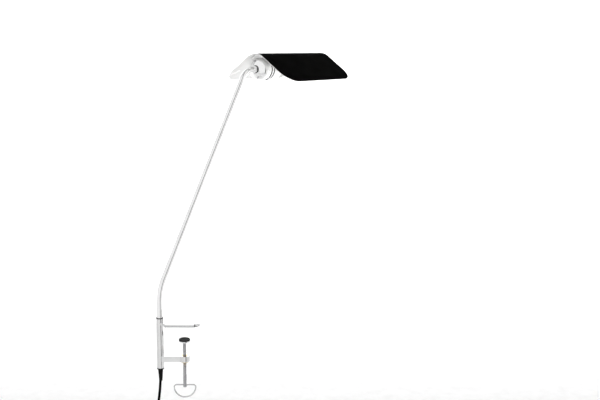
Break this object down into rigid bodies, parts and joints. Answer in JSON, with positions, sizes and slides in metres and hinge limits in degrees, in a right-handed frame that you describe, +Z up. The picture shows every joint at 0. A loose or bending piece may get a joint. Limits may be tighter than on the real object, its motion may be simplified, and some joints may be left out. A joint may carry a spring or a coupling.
{
  "type": "swing arm desk lamp",
  "caption": "Clamp-on desk lamp: a bent tube stem swivels in a screw clamp and carries a folded sheet shade that turns about its lampholder; mains lead below.",
  "frame": {"origin": "on the clamp screw's axis, in the plane of the top jaw pad's underside, which rests on the desk top", "axes": "+Z up, along the clamp screw; +X from the stem into the desk; +Y away from the front"},
  "size_m": [0.4514, 0.5055, 0.9318],
  "materials": {
    "chrome": "polished chrome plate",
    "clamp_chrome": "polished chrome plate, slightly softened",
    "shade_black": "matt black powder coat outside, gloss white enamel inside",
    "holder_chrome": "polished chrome plate",
    "black_rubber": "soft black rubber",
    "black_nylon": "moulded nylon",
    "steel": "turned steel",
    "brass": "bright brass",
    "porcelain": "white insulating body",
    "opal": "opal glass",
    "cord_black": "black flexible PVC",
    "switch_black": "fine-textured black moulding",
    "bracket_steel": "white enamel"
  },
  "bodies": {
    "clamp": {"clamp_bracket": "clamp_chrome", "jaw_pad": "black_rubber", "upper_bush": "black_nylon", "lower_bush": "black_nylon", "grub_screw": "steel", "thread_insert": "brass", "cord_gland": "black_rubber", "cord_upper": "cord_black", "cord_lower": "cord_black", "cord_tail": "cord_black", "cord_coil": "cord_black", "coil_tie": "black_nylon", "switch_front": "switch_black", "switch_back": "switch_black", "switch_screws": "steel", "plug_body": "switch_black", "plug_pins": "brass"},
    "pad": {"pad_disc": "clamp_chrome", "pad_rubber": "black_rubber"},
    "screw": {"clamp_screw": "steel"},
    "ring": {"ring_handle": "clamp_chrome"},
    "stem": {"stem_tube": "chrome", "stem_journal": "steel", "inner_lead": "cord_black", "stem_collar": "chrome", "retaining_clip": "steel"},
    "head": {"rear_cap": "holder_chrome", "head_bush": "black_nylon", "rear_gasket": "black_rubber", "shade": "shade_black", "shade_saddle": "bracket_steel", "shade_band": "holder_chrome", "lug_washer": "black_rubber", "front_gasket": "black_rubber", "front_sleeve": "holder_chrome", "lampholder_body": "porcelain", "screw_shell": "brass", "centre_contact": "brass", "terminal_block": "porcelain", "cap_screws": "steel", "bulb_globe": "opal", "bulb_screw_cap": "steel", "bulb_contact": "brass"},
    "rocker": {"switch_rocker": "switch_black"}
  },
  "joints": [
    {"name": "stem_swivel", "type": "hinge", "parent": "clamp", "child": "stem", "pos_m": [-0.049, 0, 0], "axis": [0, 0, 1], "range_deg": [-160, 160]},
    {"name": "head_turn", "type": "hinge", "parent": "stem", "child": "head", "pos_m": [0.15049, 0.24636, 0.502], "axis": [0.6293, 0.7771, 0], "range_deg": [-80, 80]},
    {"name": "pad_travel", "type": "slide", "parent": "clamp", "child": "pad", "axis": [0, 0, 1], "range_m": [-0.025, 0.025]},
    {"name": "screw_spin", "type": "hinge", "parent": "pad", "child": "screw", "pos_m": [0, 0, -0.1], "axis": [0, 0, 1], "range_deg": [-7200.5, 7200.5]},
    {"name": "ring_swing", "type": "hinge", "parent": "screw", "child": "ring", "pos_m": [0, 0, -0.1275], "axis": [1, 0, 0], "range_deg": [-85, 85]},
    {"name": "switch_rock", "type": "hinge", "parent": "clamp", "child": "rocker", "pos_m": [-0.06082, -0.006, -0.20975], "axis": [-0.9903, 0, 0.1392], "range_deg": [-9, 9]}
  ],
  "couplings": [
    {"joint": "screw_spin", "follows": "pad_travel", "rad_per_m": 5026.5}
  ]
}
